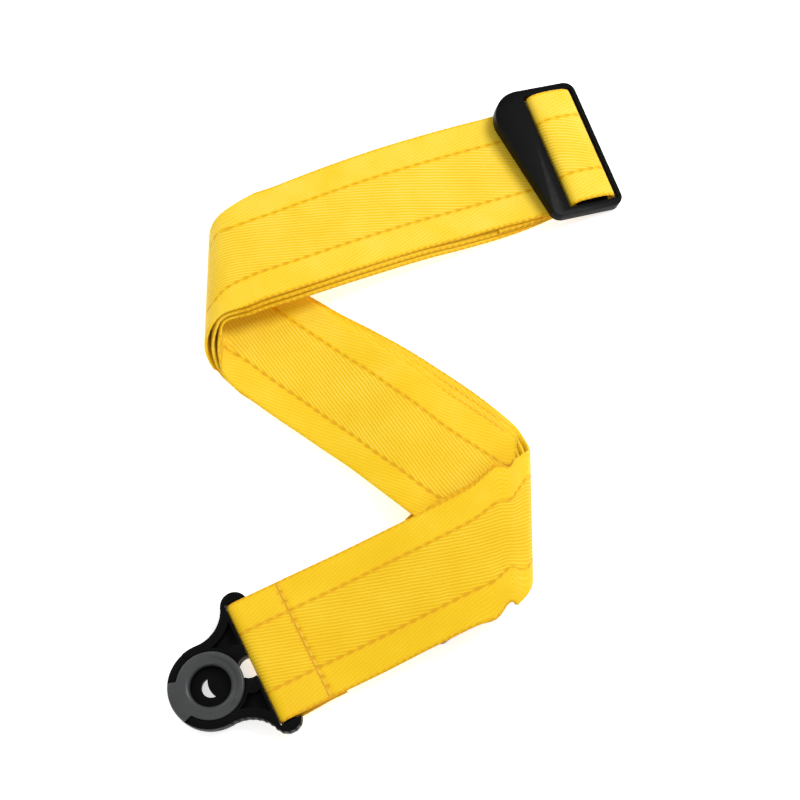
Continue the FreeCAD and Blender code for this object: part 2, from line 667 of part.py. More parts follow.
def nearest(x, y):
    return min(route, key=lambda s: math.hypot(s[0].x - x, s[0].y - y))


spot = frontBar + way * stitchAt
sewn = nearest(spot.x, spot.y)
gap = (spot - sewn[0]).dot(way)
sewn = (sewn[0] + way * gap,) + sewn[1:]
stitches("front_stitching", sewn, -thick / 2 - 0.4, 12, 0.35)
stitches("adjuster_stitching", route[-1 - steps], thick / 2 + 0.3, 12, 0.25)

for end, place in (("front", frontPlace), ("rear", rearPlace)):
    makeHousing(end + "_lock_housing", place)
    makeCover(end + "_back_cover", place)
    makeRing(end + "_release_ring", place)
    makeJaw(end + "_nose_jaw", place, -1)
    makeJaw(end + "_strap_jaw", place, 1)
    makeSpring(end + "_ring_spring", place)
    makeScrews(end + "_cover_screws", place)
makeGlide("adjuster_frame", glidePlace)
doc.recompute()

# The origin goes under the middle of the whole strap.
box = FreeCAD.BoundBox()
for piece in pieces:
    box.add(piece.Shape.optimalBoundingBox(False))
shift = V(-(box.XMin + box.XMax) / 2, -(box.YMin + box.YMax) / 2, -box.ZMin)
for piece in pieces:
    piece.Placement = FreeCAD.Placement(shift, FreeCAD.Rotation()).multiply(piece.Placement)
doc.recompute()

for thing in doc.Objects:
    if "Invalid" in thing.State or "Error" in thing.State:
        raise RuntimeError("%s failed: %s" % (thing.Label, thing.State))
os.makedirs("parts", exist_ok=True)
for piece in pieces:
    if piece.Shape.isNull() or not piece.Shape.isValid() or piece.Shape.Volume <= 0:
        raise RuntimeError("%s has no valid solid" % piece.Label)
    piece.Shape.exportStep("parts/%s.step" % piece.Label)
    print("%-24s %9.1f mm3, solids %d" % (piece.Label, piece.Shape.Volume, len(piece.Shape.Solids)))
print("size %.1f x %.1f x %.1f" % (box.XLength, box.YLength, box.ZLength))
for label, place, point in (("front", frontPlace, barPoint), ("rear", rearPlace, barPoint),
                            ("adjuster", glidePlace, V(0, 0, 0))):
    for word, spot in (("centre", V(0, 0, 0)), ("bar", point)):
        print(label, word, "%.4f %.4f %.4f" % tuple(place.multVec(spot) + shift))
    for word, axis in (("along", V(1, 0, 0)), ("across", V(0, 1, 0)), ("up", V(0, 0, 1))):
        print(label, word, "%.6f %.6f %.6f" % tuple(place.Rotation.multVec(axis)))
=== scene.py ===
import json
import math
import random
import bmesh
import bpy
from mathutils import Matrix, Vector


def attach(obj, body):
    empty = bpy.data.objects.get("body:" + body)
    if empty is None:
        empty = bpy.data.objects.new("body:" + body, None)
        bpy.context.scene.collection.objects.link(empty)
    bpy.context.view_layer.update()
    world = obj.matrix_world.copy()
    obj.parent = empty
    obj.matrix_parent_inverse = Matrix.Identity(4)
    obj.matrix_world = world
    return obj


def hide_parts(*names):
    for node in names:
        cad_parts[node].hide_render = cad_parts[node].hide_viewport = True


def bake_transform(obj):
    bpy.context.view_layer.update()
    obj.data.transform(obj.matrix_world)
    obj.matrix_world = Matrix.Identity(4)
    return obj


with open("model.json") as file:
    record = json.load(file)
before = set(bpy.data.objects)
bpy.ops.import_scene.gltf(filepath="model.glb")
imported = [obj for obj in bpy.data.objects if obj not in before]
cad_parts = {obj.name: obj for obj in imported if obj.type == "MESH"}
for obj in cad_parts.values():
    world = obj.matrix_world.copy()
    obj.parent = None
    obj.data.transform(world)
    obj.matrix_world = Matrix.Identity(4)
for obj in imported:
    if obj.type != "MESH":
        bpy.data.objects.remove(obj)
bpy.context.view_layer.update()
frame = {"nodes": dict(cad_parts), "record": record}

scene = bpy.context.scene
mm = 0.001
print("frame loaded")

# Camera, light and floor.
view = {
    "place": (-0.00176, -0.31436, 0.81319), "target": (-0.00176, -0.00226, 0.00009), "lens": 98.06,
    "world": 0.50, "floor": (0.80, 0.80, 0.80), "floorGlow": 0.62,
    # Place, width and power of each softbox.
    "lights": [
        ((0.55, 0.35, 0.95), 0.45, 8.0),
        ((-0.8, 0.5, 0.8), 0.5, 2.2),
        ((-0.1, -0.9, 0.55), 0.5, 1.2),
    ],
}


def aim(thing, place, target):
    thing.location = place
    way = Vector(target) - Vector(place)
    thing.rotation_euler = way.to_track_quat("-Z", "Y").to_euler()
    scene.collection.objects.link(thing)


lensData = bpy.data.cameras.new("camera")
lensData.lens = view["lens"]
lensData.sensor_width = 36
lensData.clip_start = 0.01
camera = bpy.data.objects.new("camera", lensData)
aim(camera, view["place"], view["target"])
scene.camera = camera
for number, (place, width, power) in enumerate(view["lights"]):
    lampData = bpy.data.lights.new("softbox%d" % number, "AREA")
    lampData.size = width
    lampData.energy = power
    aim(bpy.data.objects.new("softbox%d" % number, lampData), place, (0, 0, 0))
world = bpy.data.worlds.new("studio")
scene.world = world
world.use_nodes = True
world.node_tree.nodes["Background"].inputs["Color"].default_value = (1, 1, 1, 1)
world.node_tree.nodes["Background"].inputs["Strength"].default_value = view["world"]
scene.view_settings.view_transform = "Standard"


def newPiece(name, mesh):
    piece = bpy.data.objects.new(name, mesh)
    scene.collection.objects.link(piece)
    return piece


# A shader value. Arithmetic on it adds math nodes.
class Value:
    def __init__(self, tree, socket):
        self.tree = tree
        self.socket = socket

    def node(self, kind, output, inputs, **settings):
        made = self.tree.nodes.new(kind)
        for name, value in settings.items():
            setattr(made, name, value)
        for name, value in inputs.items():
            if isinstance(value, Value):
                self.tree.links.new(value.socket, made.inputs[name])
            else:
                made.inputs[name].default_value = value
        return Value(self.tree, made.outputs[output])

    def math(self, operation, *others):
        values = dict(enumerate((self,) + others))
        return self.node("ShaderNodeMath", 0, values, operation=operation)

    def __add__(self, other):
        return self.math("ADD", other)

    def __sub__(self, other):
        return self.math("SUBTRACT", other)

    def __mul__(self, other):
        return self.math("MULTIPLY", other)

    def __truediv__(self, other):
        return self.math("DIVIDE", other)

    def __radd__(self, other):
        return self + other

    def __rsub__(self, other):
        return self * -1.0 + other

    def __rmul__(self, other):
        return self * other

    def __rtruediv__(self, other):
        return self.math("POWER", -1.0) * other

    def wave(self, pitch):
        return (self * (2 * math.pi / pitch)).math("COSINE") * 0.5 + 0.5

    def near(self, centre, width):
        gap = (self - centre) / width
        return (gap * gap * -1.0).math("EXPONENT")

    def clamp(self):
        return self.math("MAXIMUM", 0.0).math("MINIMUM", 1.0)

    def mix(self, low, high):
        return self.node("ShaderNodeMix", 2, {0: self, 6: low, 7: high}, data_type="RGBA",
                         clamp_factor=True)


def newMaterial(name, **constants):
    material = bpy.data.materials.new(name)
    material.use_nodes = True
    tree = material.node_tree
    shader = tree.nodes["Principled BSDF"]
    for key, value in constants.items():
        shader.inputs[key.replace("_", " ")].default_value = value
    return material, tree, shader


def start(tree, kind, output, **settings):
    made = tree.nodes.new(kind)
    for name, value in settings.items():
        setattr(made, name, value)
    return Value(tree, made.outputs[output])


def feed(tree, shader, name, value):
    tree.links.new(value.socket, shader.inputs[name])


def bumped(value, strength, distance, under=None):
    inputs = {"Strength": strength, "Distance": distance, "Height": value}
    if under is not None:
        inputs["Normal"] = under
    return value.node("ShaderNodeBump", "Normal", inputs)


# Woven webbing: herringbone ribs that turn at the quarter lines, seen in the web's own UV.
weave = {
    "deep": (0.76, 0.38, 0.0, 1), "mid": (0.92, 0.59, 0.002, 1), "bright": (0.97, 0.81, 0.165, 1),
    "lean": 17.0, "ribPitch": 1.3, "yarnPitch": 0.62, "roughness": 0.56, "paintedLightToBack": 0.9,
    "width": 50.0, "stitchPitch": 4.1, "beadPitch": 2.75,
}


def webbingMaterial(name, stitchAt=None):
    material, tree, shader = newMaterial(name, Sheen_Weight=0.07, Sheen_Roughness=0.4,
                                         Specular_IOR_Level=0.28)
    uv = start(tree, "ShaderNodeUVMap", "UV", uv_map="web")
    split = uv.node("ShaderNodeSeparateXYZ", "X", {"Vector": uv})
    width = weave["width"]
    u = split * width - width / 2
    v = Value(tree, split.socket.node.outputs["Y"]) * width
    turn = (u + width / 4).math("PINGPONG", width / 2)
    lean = math.radians(weave["lean"])
    cross = turn * math.cos(lean) + v * math.sin(lean)
    down = v * math.cos(lean) - turn * math.sin(lean)
    wobble = uv.node("ShaderNodeTexNoise", 0, {"Vector": uv, "Scale": 9.0, "Detail": 2.0})
    cross = cross + (wobble - 0.5) * 0.7
    rib = cross.wave(weave["ribPitch"])
    yarn = (down + cross * 0.5).wave(weave["yarnPitch"])
    quarter = (u.math("ABSOLUTE") - width / 4).math("ABSOLUTE")
    seam = quarter.near(0.0, 0.62)
    dash = seam * (v.wave(weave["ribPitch"] / math.sin(lean)) * 0.75 + 0.25)
    reach = u.math("ABSOLUTE")
    calm = ((reach - 12.2) * 1.5).clamp()
    edge = reach.near(width / 2, 0.8)
    bead = v.wave(weave["beadPitch"])
    height = (rib * 0.75 + yarn * 0.25) * (1.0 - calm * 0.45) - dash * 0.9 + edge * bead * 1.5
    fine = uv.node("ShaderNodeTexNoise", 0, {"Vector": uv, "Scale": 170.0, "Detail": 3.0})
    broad = uv.node("ShaderNodeTexNoise", 0, {"Vector": uv, "Scale": 3.0, "Detail": 3.0})
    tone = rib * (0.34 - calm * 0.20) + yarn * 0.08 + fine * 0.22 + broad * 0.34
    tone = tone - dash * 0.75 + calm * 0.13
    # Painted light: the web's colour grows lighter towards the back of the scene (object Y), standing in for
    # the stronger light there.
    place = start(tree, "ShaderNodeTexCoord", "Object")
    back = place.node("ShaderNodeSeparateXYZ", "Y", {"Vector": place})
    # Painted shade along the selvage, deepest in the hollows between its beads.
    tone = tone - edge * (0.8 - bead * 0.5) + back * weave["paintedLightToBack"]
    if stitchAt is not None:
        line = v.near(stitchAt, 1.5)
        puff = (u + weave["stitchPitch"] / 2).wave(weave["stitchPitch"])
        height = height - line * (2.6 - puff * 1.6)
        hole = v.near(stitchAt, 0.85) * (puff * -1.0 + 1.0).math("POWER", 6.0)
        # Painted shade: dark needle holes and a darker band along the sunken stitch line.
        tone = tone - hole * 1.5 - line * 0.12
    low = (tone * 2.0).clamp().mix(weave["deep"], weave["mid"])
    colour = (tone * 2.0 - 1.0).clamp().mix(low, weave["bright"])
    feed(tree, shader, "Base Color", colour)
    feed(tree, shader, "Roughness", (fine * 0.14 + rib * -0.08 + weave["roughness"]).clamp())
    feed(tree, shader, "Normal", bumped(height + fine * 0.4, 0.55, 0.00022))
    return material


def threadMaterial():
    material, tree, shader = newMaterial("thread", Roughness=0.5, Sheen_Weight=0.2)
    place = start(tree, "ShaderNodeTexCoord", "Object")
    grain = place.node("ShaderNodeTexNoise", 0, {"Vector": place, "Scale": 900.0, "Detail": 2.0})
    feed(tree, shader, "Base Color", (grain * 1.2 - 0.2).clamp().mix(weave["deep"], weave["mid"]))
    feed(tree, shader, "Normal", bumped(grain, 0.4, 0.0001))
    return material


def plasticMaterial(name, dark, light, rough, bump, coat, shine):
    material, tree, shader = newMaterial(name, Specular_IOR_Level=shine, Coat_Roughness=0.12)
    place = start(tree, "ShaderNodeTexCoord", "Object")
    cloud = place.node("ShaderNodeTexNoise", 0, {"Vector": place, "Scale": 60.0, "Detail": 3.0})
    grain = place.node("ShaderNodeTexNoise", 0, {"Vector": place, "Scale": 2600.0, "Detail": 2.0})
    wear = place.node("ShaderNodeTexNoise", 0, {"Vector": place, "Scale": 420.0, "Detail": 4.0})
    shade = (cloud * 0.9 + wear * 0.4 - 0.15).clamp()
    feed(tree, shader, "Base Color", shade.mix(dark, light))
    feed(tree, shader, "Roughness", (wear * 0.22 + cloud * 0.10 + rough - 0.16).clamp())
    feed(tree, shader, "Coat Weight", (cloud * coat).clamp())
    feed(tree, shader, "Normal", bumped(grain + wear * 0.5, bump, 0.00004))
    return material


def steelMaterial():
    material, tree, shader = newMaterial("steel", Metallic=1.0)
    place = start(tree, "ShaderNodeTexCoord", "Object")
    brushed = place.node("ShaderNodeMapping", "Vector", {"Vector": place, "Scale": (900.0, 900.0, 90.0)})
    grain = place.node("ShaderNodeTexNoise", 0, {"Vector": brushed, "Scale": 1.0, "Detail": 3.0})
    feed(tree, shader, "Base Color", grain.mix((0.42, 0.42, 0.43, 1), (0.72, 0.72, 0.73, 1)))
    feed(tree, shader, "Roughness", (grain * 0.25 + 0.22).clamp())
    feed(tree, shader, "Normal", bumped(grain, 0.2, 0.00003))
    return material


webCloth = webbingMaterial("webbing")
thread = threadMaterial()
# Darkest and lightest colour, roughness, grain, coat and shine.
black = plasticMaterial("blackPlastic", (0.0018, 0.0018, 0.0019, 1), (0.0038, 0.0038, 0.004, 1),
                        0.42, 0.22, 0.05, 0.05)
grey = plasticMaterial("greyPlastic", (0.044, 0.046, 0.047, 1), (0.066, 0.068, 0.069, 1),
                       0.38, 0.22, 0.12, 0.25)
steel = steelMaterial()
print("materials made")

# The plain floor.
floorMaterial, floorTree, floorShader = newMaterial("floor", Roughness=0.9)
floorPlace = start(floorTree, "ShaderNodeTexCoord", "Object")
floorGrain = floorPlace.node("ShaderNodeTexNoise", 0, {"Vector": floorPlace, "Scale": 40.0})
feed(floorTree, floorShader, "Base Color", floorGrain.mix(view["floor"] + (1,), (0.95, 0.95, 0.95, 1)))
floorShader.inputs["Emission Color"].default_value = (1, 1, 1, 1)
floorShader.inputs["Emission Strength"].default_value = view["floorGlow"]
floorMesh = bpy.data.meshes.new("floor")
floorMesh.from_pydata([(-4, -4, 0), (4, -4, 0), (4, 4, 0), (-4, 4, 0)], [], [(0, 1, 2, 3)])
floorMesh.materials.append(floorMaterial)
floor = bpy.data.objects.new("floor", floorMesh)
scene.collection.objects.link(floor)

# The strap's route, in millimetres, as the frame has it. Each row is the middle of the web, the
# direction of its crosswise line, its half width, the depth of the two strands inside, their
# splay and the tilt of the crosswise line.
web = {
    "half": weave["width"] / 2, "thick": 1.3, "pitch": 1.4, "shift": (-1.7627, -2.2638, 0.093), "spacing": 0.8,
    "rollRight": 5.8, "rollLeft": 7.2, "barReach": 21.6, "barHeight": 4.2, "barRadius": 2.4,
    "beadSize": 0.24, "wrapHalf": 26.2, "stitches": 12, "stitchReach": 21.3, "tail": 6.5,
}
shift = Vector(web["shift"])


def lockPlace(x, y, lift, heading, slope):
    turn = Matrix.Rotation(math.radians(heading), 4, "Z") @ Matrix.Rotation(math.radians(-slope), 4, "Y")
    return Matrix.Translation(Vector((x, y, lift)) + shift) @ turn


frontTurn, rearTurn, glideTurn = 26.0, 185.0, 20.0
frontPlace = lockPlace(-70.96, -118.27, 1.55, frontTurn, 5.0)
rearPlace = lockPlace(33.5, -69.7, 0.0, rearTurn, 0.0)
glidePlace = lockPlace(70.2, 109.2, 5.9, glideTurn, -15.0)
loopRadius = web["barRadius"] + 0.35 + web["thick"] / 2
barPoint = Vector((web["barReach"], 0, web["barHeight"]))
frontBar = frontPlace @ barPoint - shift
rearBar = rearPlace @ barPoint - shift
step = web["pitch"]
tailDepth = web["thick"] + 0.6


def bend(x, z, radius, angle, y, half, inner, outer, splay, tilt=0.0):
    spot = math.radians(angle)
    return (x + radius * math.cos(spot), y, z + radius * math.sin(spot), 90.0, half * web["half"],
            inner, outer, splay, tilt)


slant = 1.24 * web["half"]
frontRun = [
    (frontBar.x, frontBar.y, frontBar.z + loopRadius, 116, slant, step, 2 * step, 1.0, 0),
    (-32.8, -99.2, 10.1, 115, slant, step, 2 * step, 1.0, 0),
    (-15.0, -90.8, 11.4, 109, slant, step, 2 * step, 1.0, 0),
    (0.0, -83.8, 14.0, 102, slant, step, 2 * step, 1.0, 0),
    (15.0, -76.9, 17.0, 97, slant, step, 2 * step, 1.2, 0),
    (30.0, -69.6, 19.6, 92, slant, 1.6, 3.2, 1.3, 0),
    (39.0, -63.9, 20.8, 90, slant, 1.9, 3.8, 1.0, 0),
]
rightFold = [bend(44.25, 15.1, web["rollRight"], angle, y, half, 2.0, 4.0, splay)
             for angle, y, half, splay in (
                 (90, -61.4, 1.165, 0.6), (45, -57.4, 1.13, -0.4), (0, -53.0, 1.085, -1.6),
                 (-45, -47.4, 1.1, -2.8), (-90, -42.4, 1.16, -3.6))]
middleRun = [
    (30.0, -32.0, 9.3, 90, slant, 1.7, 3.4, -4.2, 0),
    (15.0, -21.0, 9.2, 90, slant, step, 2 * step, -4.2, 0),
    (0.0, -10.2, 8.2, 90, slant, step, 2 * step, -3.4, 0),
    (-15.0, 0.3, 5.0, 90, slant, step, 2 * step, -2.4, 0),
    (-30.0, 10.2, 2.2, 90, slant, step, 2 * step, -1.6, 0),
    (-46.0, 20.8, 1.0, 90, slant, 1.6, 3.2, -1.0, 0),
    (-60.0, 30.4, 0.82, 90, slant, 1.9, 3.8, -0.6, 0),
]
leftFold = [bend(-70.15, 8.02, web["rollLeft"], angle, y, half, inner, outer, -0.4, tilt)
            for angle, y, half, inner, outer, tilt in (
                (-90, 37.5, 1.16, 2.3, 4.6, 0), (-135, 40.5, 1.1, 2.6, 5.0, -2),
                (-180, 44.4, 1.06, 2.8, 5.2, -5), (-225, 49.4, 1.04, 2.6, 5.0, -8),
                (-270, 54.3, 1.02, 2.3, 4.6, -9))]
backRun = [
    (-60.0, 59.5, 15.1, 90.5, 27.1, 2.1, 4.2, -0.9, -9),
    (-45.0, 65.6, 14.6, 93, 27.5, 1.8, 3.6, -1.3, -8),
    (-22.0, 75.2, 13.0, 101, slant, step, 2 * step, -1.6, -5),
    (0.0, 84.2, 10.6, 106, slant, step, 2 * step, -1.6, -2),
    (18.0, 90.7, 8.9, 109, slant, step + 1.0, 2 * step + 1.0, -1.5, 0),
    (32.0, 95.8, 7.4, 110, slant, tailDepth + step, tailDepth + 2 * step, -1.3, 0),
    (44.0, 99.9, 6.2, 110, slant, tailDepth + step, tailDepth + 2 * step, -0.8, 0),
    (55.2, 103.75, 5.6, 110, slant, tailDepth + step, tailDepth + 2 * step, 0.0, 0),
]
hairpins = {
    1: [(8.6, -79.8, 12.9, 99), (5.9, -78.6, 9.7, 98), (5.5, -76.2, 5.3, 97),
        (8.0, -72.3, 1.75, 95), (rearBar.x, rearBar.y, rearBar.z - loopRadius, 95)],
    2: [(11.2, -78.4, 12.6, 98), (9.0, -77.2, 11.1, 97), (8.3, -75.2, 9.4, 96),
        (9.4, -72.8, 8.0, 95), (rearBar.x, rearBar.y, rearBar.z + loopRadius, 95)],
}


def smooth(rows, steps):
    out = []
    for i in range(len(rows) - 1):
        a, b = rows[max(i - 1, 0)], rows[i]
        c, d = rows[i + 1], rows[min(i + 2, len(rows) - 1)]
        for number in range(steps):
            t = number / steps
            out.append(tuple(
                0.5 * (2 * q + (r - p) * t + (2 * p - 5 * q + 4 * r - s) * t * t
                       + (3 * q - p - 3 * r + s) * t ** 3)
                for p, q, r, s in zip(a, b, c, d)))
    out.append(tuple(rows[-1]))
    return out


def frames(rows, steps):
    points = smooth(rows, steps)
    spots = [Vector(p[:3]) for p in points]
    out = []
    for i, point in enumerate(points):
        along = (spots[min(i + 1, len(spots) - 1)] - spots[max(i - 1, 0)]).normalized()
        turn = math.radians(point[3])
        tilt = math.radians(point[8]) if len(point) > 8 else 0.0
        flat = math.cos(tilt)
        across = Vector((math.cos(turn) * flat, math.sin(turn) * flat, math.sin(tilt)))
        inward = across.cross(along)
        half = web["half"] / inward.length
        half = min(half, point[4]) if len(point) > 4 else web["half"]
        out.append((spots[i], across, half, inward.normalized()) + tuple(point[5:]))
    return out


def offset(section, inward, sideways):
    centre, across, half, normal = section[:4]
    return (centre + normal * inward + across * sideways, across, half, normal)


def moved(section, layer):
    depth = (0.0, section[4], section[5])[layer]
    return offset(section, depth, layer * section[6])


fineSteps = 12
route = frames(frontRun + rightFold + middleRun + leftFold + backRun, fineSteps)
turnStart = 4 * fineSteps


def evenly(sections, spacing):
    # The same strip at even steps along its middle.
    marks = [0.0]
    for a, b in zip(sections, sections[1:]):
        marks.append(marks[-1] + (b[0] - a[0]).length)
    count = max(2, round(marks[-1] / spacing))
    out = []
    at = 0
    for number in range(count + 1):
        want = marks[-1] * number / count
        while at < len(marks) - 2 and marks[at + 1] < want:
            at += 1
        share = (want - marks[at]) / max(marks[at + 1] - marks[at], 1e-9)
        a, b = sections[at], sections[at + 1]
        out.append((a[0].lerp(b[0], share), a[1].lerp(b[1], share).normalized(),
                    a[2] + (b[2] - a[2]) * share, a[3].lerp(b[3], share).normalized(), want))
    return out, marks[-1]


# Places across the web, as a share of its half width, and how full it is there.
edgeShape = [(1.0, 0.0), (0.9945, 0.46), (0.982, 0.76), (0.962, 0.95), (0.93, 1.0)]
inner = [0.86, 0.74, 0.62, 0.52, 0.5, 0.48, 0.36, 0.24, 0.12]
profile = [(-a, b) for a, b in edgeShape] + [(-a, 1.0) for a in inner] + [(0.0, 1.0)]
profile += [(a, 1.0) for a in reversed(inner)] + [(a, b) for a, b in reversed(edgeShape)]


def makeWeb(name, sections, material, seed, flow=1):
    # A strip of webbing with a beaded selvage; its UV is the flat web in 50 mm units.
    rows, length = evenly(sections, web["spacing"])
    rng = random.Random(seed)
    phase = [rng.uniform(0, 3), rng.uniform(0, 3)]
    points, faces, uvs = [], [], []
    ring = len(profile) * 2 - 2
    half = web["thick"] / 2
    for i, (centre, across, reach, normal, along) in enumerate(rows):
        way = rows[min(i + 1, len(rows) - 1)][0] - rows[max(i - 1, 0)][0]
        way.normalize()
        skew = across.dot(way)
        width = math.sqrt(max(1e-6, 1 - skew * skew))
        for k in range(ring):
            top = k < len(profile)
            place, full = profile[k] if top else profile[ring - k]
            side = 0 if place < 0 else 1
            bead = math.sin(math.pi * (along + phase[side]) / weave["beadPitch"]) ** 2
            rim = max(0.0, (abs(place) - 0.93) / 0.07)
            spread = place * reach + math.copysign(rim * (bead - 0.5) * web["beadSize"], place)
            lift = full * half * (1 + rim * (bead - 0.6) * 0.35) * (-1 if top else 1)
            spot = centre + across * spread + normal * lift
            points.append((spot + shift) * mm)
            fromMiddle = place * web["half"] * min(1.0, reach * width / web["half"])
            uvs.append(((fromMiddle + web["half"]) / weave["width"],
                        flow * (along + place * reach * skew) / weave["width"]))
    for i in range(len(rows) - 1):
        for k in range(ring):
            a, b = i * ring + k, i * ring + (k + 1) % ring
            faces.append((a, b, b + ring, a + ring))
    faces.append(tuple(range(ring - 1, -1, -1)))
    faces.append(tuple((len(rows) - 1) * ring + k for k in range(ring)))
    mesh = bpy.data.meshes.new(name)
    mesh.from_pydata(points, [], faces)
    layer = mesh.uv_layers.new(name="web")
    for loop in mesh.loops:
        layer.data[loop.index].uv = uvs[loop.vertex_index]
    mesh.materials.append(material)
    work = bmesh.new()
    work.from_mesh(mesh)
    bmesh.ops.recalc_face_normals(work, faces=work.faces)
    work.to_mesh(mesh)
    work.free()
    mesh.shade_smooth()
    mesh.set_sharp_from_angle(angle=math.radians(60))
    piece = newPiece(name, mesh)
    return piece, length


def asSheet(piece, length, *nodes):
    length * mm
    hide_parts(*nodes)


stitchAlong = web["stitchReach"] - loopRadius - web["thick"] / 2
frontCloth = webbingMaterial("webbingSewn", stitchAlong)
strandNames = ("outer", "sewn", "return")
for layer, label in enumerate(strandNames):
    body = [moved(s, layer) for s in (route if layer == 0 else route[turnStart:])]
    if layer:
        first = body[0][0]
        turn = frames([(first.x, first.y, first.z, 97)] + hairpins[layer], 9)[::-1]
        body = [(c, a, h, n * -1) for c, a, h, n in turn[:-1]] + body
    material = frontCloth if layer == 0 else webCloth
    piece, length = makeWeb(label + "Web", body, material, seed=layer, flow=-1 if layer == 2 else 1)
    asSheet(piece, length, label + "_strand", label + "_strand_run")
    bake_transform(piece)
    print(label, "strand", round(length), "mm")


def inPlane(place, heading, points):
    rows = []
    for x, z in points:
        spot = place @ Vector((x, 0, z)) - shift
        rows.append((spot.x, spot.y, spot.z, heading + 90))
    return rows


def halfTurn(bar, heading, first, last, count=9):
    way = Vector((math.cos(math.radians(heading)), math.sin(math.radians(heading)), 0))
    rows = []
    for number in range(count):
        angle = math.radians(first + (last - first) * number / (count - 1))
        spot = bar + way * (loopRadius * math.cos(angle)) + Vector((0, 0, loopRadius * math.sin(angle)))
        rows.append((spot.x, spot.y, spot.z, heading + 90))
    return rows


way = Vector((math.cos(math.radians(frontTurn)), math.sin(math.radians(frontTurn)), 0))
tail = []
for reach, rise in ((6.0, -2.6), (13.0, -0.6), (stitchAlong, 0.75), (stitchAlong + web["tail"], 0.95)):
    spot = frontBar + way * reach + Vector((0, 0, rise))
    tail.append((spot.x, spot.y, spot.z, frontTurn + 90))
around = halfTurn(frontBar, frontTurn, 84, 270)
piece, length = makeWeb("frontLoopWeb", frames(around, 4)[:-1] + frames(around[-1:] + tail, 12), webCloth,
                        seed=5, flow=-1)
asSheet(piece, length, "front_loop")
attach(piece, "strap")
piece, length = makeWeb("rearLoopWeb", frames(halfTurn(rearBar, rearTurn, 90, 270), 4), webCloth, seed=6)
asSheet(piece, length, "rear_loop")
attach(piece, "strap")

over = [(-14.9, -4.35), (-12.9, -4.2), (-11.0, -3.2), (-9.75, -1.3), (-9.4, 1.0), (-8.4, 2.9),
        (-6.0, 4.0), (-2.5, 4.45), (2.5, 4.5), (6.2, 3.95), (8.9, 2.4), (9.6, 0), (8.9, -2.6),
        (5.8, -3.95), (0, -4.25), (-5, -5.55), (-10, -7.6), (-13.6, -8.8)]
under = [(-11.7, -5.25), (-9.5, -3.9), (-8.3, -1.7), (-8.0, 0.2), (-6.5, 2.1), (-2, 2.45), (2, 2.45),
         (5.6, 2.3), (7.4, 1.6), (8.05, 0), (7.4, -1.6), (5.4, -2.35), (0, -2.65), (-5, -4.0),
         (-10, -6.1), (-14.0, -7.5)]
wrap = [(c, a, web["wrapHalf"], n) for c, a, h, n in frames(inPlane(glidePlace, glideTurn, over), 9)]
piece, length = makeWeb("adjusterWrapWeb", wrap, webCloth, seed=7)
asSheet(piece, length, "adjuster_wrap")
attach(piece, "adjuster")
tailPart = [offset(s, tailDepth, s[6]) for s in route[-1 - 2 * fineSteps:]]
piece, length = makeWeb("adjusterLoopWeb", tailPart + frames(inPlane(glidePlace, glideTurn, under), 9),
                        webCloth, seed=8)
asSheet(piece, length, "adjuster_loop")
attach(piece, "adjuster")
print("webbing made")


# A copy of a frame piece with its loose triangles merged.
def mergedCopy(name, node):
    mesh = frame["nodes"][node].data.copy()
    mesh.name = name
    work = bmesh.new()
    work.from_mesh(mesh)
    bmesh.ops.remove_doubles(work, verts=work.verts, dist=1e-6)
    bmesh.ops.dissolve_limit(work, angle_limit=math.radians(1.0), verts=work.verts, edges=work.edges)
    return mesh, work


# Moulded parts that keep the frame's shape, with softened edges.
def softened(name, node, material, width, segments=2):
    mesh, work = mergedCopy(name, node)
    work.to_mesh(mesh)
    work.free()
    mesh.materials.clear()
    mesh.materials.append(material)
    piece = newPiece(name, mesh)
    bevel = piece.modifiers.new("soft", "BEVEL")
    bevel.width = width * mm
    bevel.segments = segments
    bevel.limit_method = "ANGLE"
    bevel.angle_limit = math.radians(40)
    made = bpy.data.meshes.new_from_object(piece.evaluated_get(bpy.context.evaluated_depsgraph_get()))
    piece.modifiers.clear()
    piece.data = made
    made.shade_smooth()
    made.set_sharp_from_angle(angle=math.radians(30))
    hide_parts(node)
    return piece


# A jaw whose faces all move out a little, so that the seam between a closed pair stays dark.
def grown(name, node, amount):
    mesh, work = mergedCopy(name, node)
    work.normal_update()
    moves = [vert.normal * (vert.calc_shell_factor() * amount * mm) for vert in work.verts]
    for vert, move in zip(work.verts, moves):
        vert.co += move
    work.to_mesh(mesh)
    work.free()
    piece = newPiece(name, mesh)
    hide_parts(node)
    return piece


